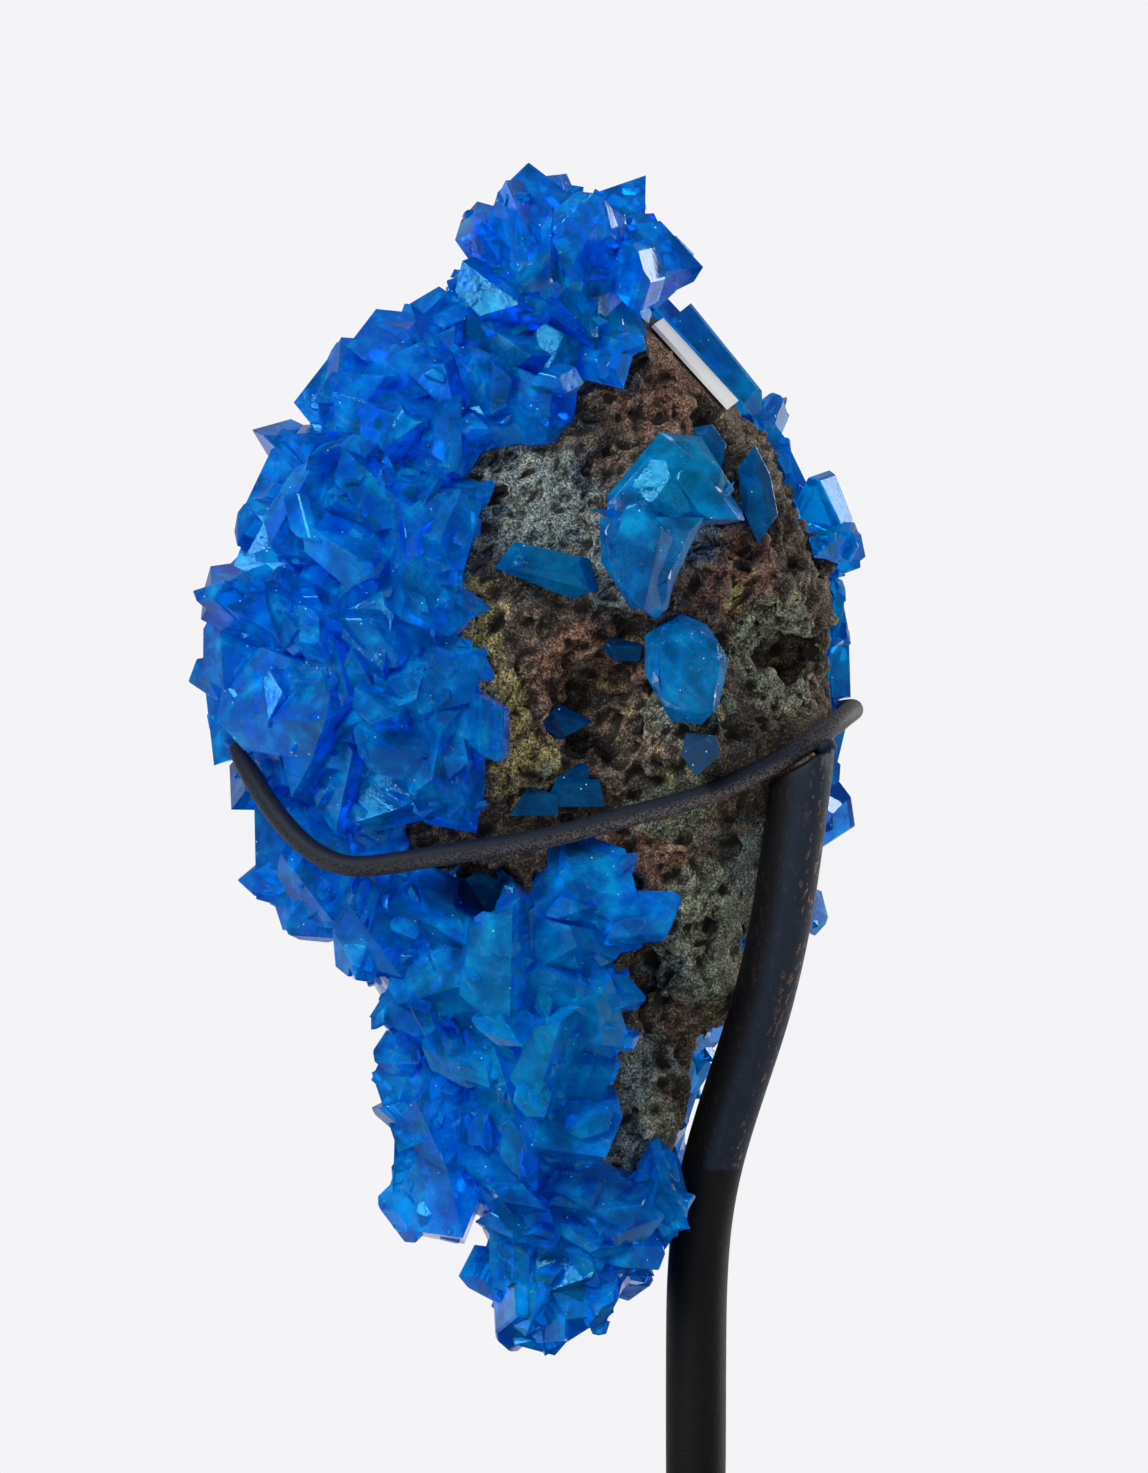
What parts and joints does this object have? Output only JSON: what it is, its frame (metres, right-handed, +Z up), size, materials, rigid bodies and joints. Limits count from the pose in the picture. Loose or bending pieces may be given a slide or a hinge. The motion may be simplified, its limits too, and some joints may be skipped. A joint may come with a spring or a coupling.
{
  "type": "chalcanthite specimen on a stand",
  "caption": "Blue chalcanthite crystals grown over porous brown rock, held upright by a bent wire claw on a black rod with a plain block foot.",
  "frame": {"origin": "centre of the underside of the base, on the surface that the stand rests on", "axes": "+Z up along the specimen's length, -Y towards the side that shows the bare rock, +X to the right in that view"},
  "size_m": [0.08, 0.064, 0.1604],
  "materials": {
    "rock": "rough porous rock, brown with ochre and grey-green patches",
    "blue_crystal": "clear saturated blue crystal with flat bright faces",
    "card": "blank white card",
    "black_coat": "matt black coat on steel, worn to brown specks"
  },
  "bodies": {
    "root": {"matrix": "rock", "crystal_crust": "blue_crystal", "front_cluster": "blue_crystal", "lens_crystal": "blue_crystal", "blade_crystal": "blue_crystal", "block_crystal": "blue_crystal", "shadow_crystal": "blue_crystal", "dark_crystal": "blue_crystal", "grey_crystal": "blue_crystal", "hollow_crystals": "blue_crystal", "label": "card", "wire_claw": "black_coat", "post": "black_coat", "base": "black_coat"}
  },
  "joints": []
}
